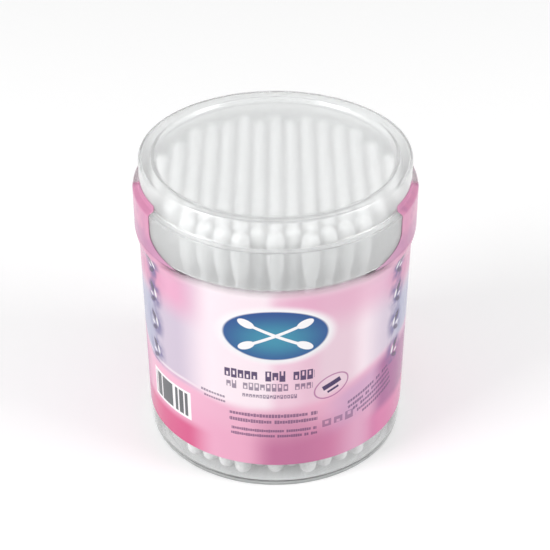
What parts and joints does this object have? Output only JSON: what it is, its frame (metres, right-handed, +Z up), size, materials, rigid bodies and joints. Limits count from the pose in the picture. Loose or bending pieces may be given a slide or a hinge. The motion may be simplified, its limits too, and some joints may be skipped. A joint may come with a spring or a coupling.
{
  "type": "cotton swab tub",
  "caption": "Round clear plastic tub packed with upright cotton swabs, wrapped in a printed pink film and closed by a clear press-on lid with a sunken top",
  "frame": {"origin": "on the surface that the tub stands on, at the tub's axis", "axes": "+Z up along the tub's axis; the printed front faces -Y"},
  "size_m": [0.0746, 0.074, 0.0831],
  "materials": {
    "clear_plastic": "clear and glossy",
    "pink_film": "printed film, glossy",
    "blue_ink": "printed",
    "white_ink": "printed",
    "violet_ink": "printed",
    "plum_ink": "printed",
    "dark_ink": "printed",
    "rose_ink": "printed",
    "swab_stem": "plain white",
    "cotton": "soft white wound cotton"
  },
  "bodies": {
    "tub_body": {"tub": "clear_plastic", "film_sleeve": "pink_film", "print_plaque": "blue_ink", "print_plaque_border": "white_ink", "print_plaque_motif": "white_ink", "print_lines": "violet_ink", "print_badge": "plum_ink", "print_bar_code_panel": "white_ink", "print_bar_code_bars": "dark_ink", "print_side_tiles": "violet_ink", "print_lower_band": "rose_ink", "swab_row_01_stems": "swab_stem", "swab_row_02_stems": "swab_stem", "swab_row_03_stems": "swab_stem", "swab_row_04_stems": "swab_stem", "swab_row_05_stems": "swab_stem", "swab_row_06_stems": "swab_stem", "swab_row_07_stems": "swab_stem", "swab_row_08_stems": "swab_stem", "swab_row_09_stems": "swab_stem", "swab_row_10_stems": "swab_stem", "swab_row_11_stems": "swab_stem", "swab_row_12_stems": "swab_stem", "swab_row_13_stems": "swab_stem", "swab_row_14_stems": "swab_stem", "swab_row_15_stems": "swab_stem", "swab_row_01_tips": "cotton", "swab_row_02_tips": "cotton", "swab_row_03_tips": "cotton", "swab_row_04_tips": "cotton", "swab_row_05_tips": "cotton", "swab_row_06_tips": "cotton", "swab_row_07_tips": "cotton", "swab_row_08_tips": "cotton", "swab_row_09_tips": "cotton", "swab_row_10_tips": "cotton", "swab_row_11_tips": "cotton", "swab_row_12_tips": "cotton", "swab_row_13_tips": "cotton", "swab_row_14_tips": "cotton", "swab_row_15_tips": "cotton"},
    "lid_body": {"lid": "clear_plastic", "film_tab_left": "pink_film", "film_tab_right": "pink_film"}
  },
  "joints": [
    {"name": "lid_lift", "type": "slide", "parent": "tub_body", "child": "lid_body", "axis": [0, 0, 1], "range_m": [0, 0.025]}
  ]
}
